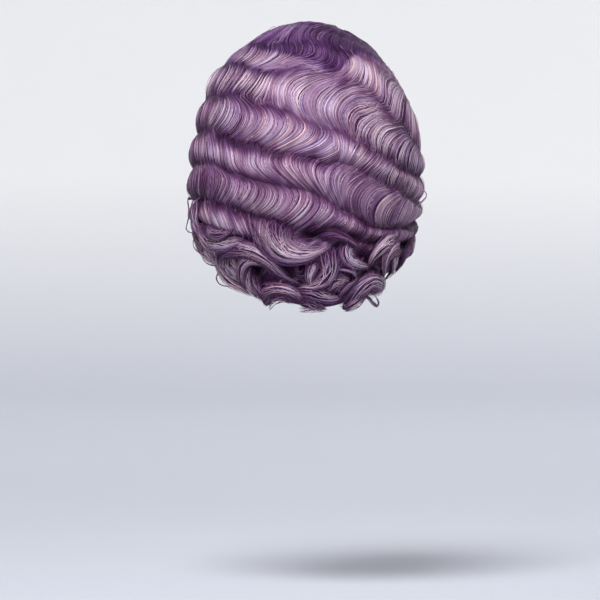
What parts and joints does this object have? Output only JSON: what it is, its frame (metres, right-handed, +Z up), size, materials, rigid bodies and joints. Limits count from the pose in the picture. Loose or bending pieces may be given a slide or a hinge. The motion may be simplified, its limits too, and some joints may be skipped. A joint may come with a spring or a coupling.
{
  "type": "wavy wig",
  "caption": "Short finger-waved wig with a side parting: rolls of waved hair on a fitted cap, ending in loose curls along the nape",
  "frame": {"origin": "inside of the cap at the crown, where the wig sits on the head", "axes": "+Z is up; the wearer faces -Y, so the back of the wig is towards +Y and the wearer's left is +X"},
  "size_m": [0.1998, 0.2007, 0.2493],
  "materials": {
    "hair": "silky fibre, purple mixed with grey-lavender",
    "cap_net": "matt stretch net"
  },
  "bodies": {
    "root": {"wig_cap": "cap_net", "wave_1": "hair", "wave_2": "hair", "wave_3": "hair", "wave_4": "hair", "wave_5": "hair", "wave_6": "hair", "wave_7": "hair", "wave_8": "hair", "wave_9": "hair", "curled_fringe": "hair"}
  },
  "joints": []
}
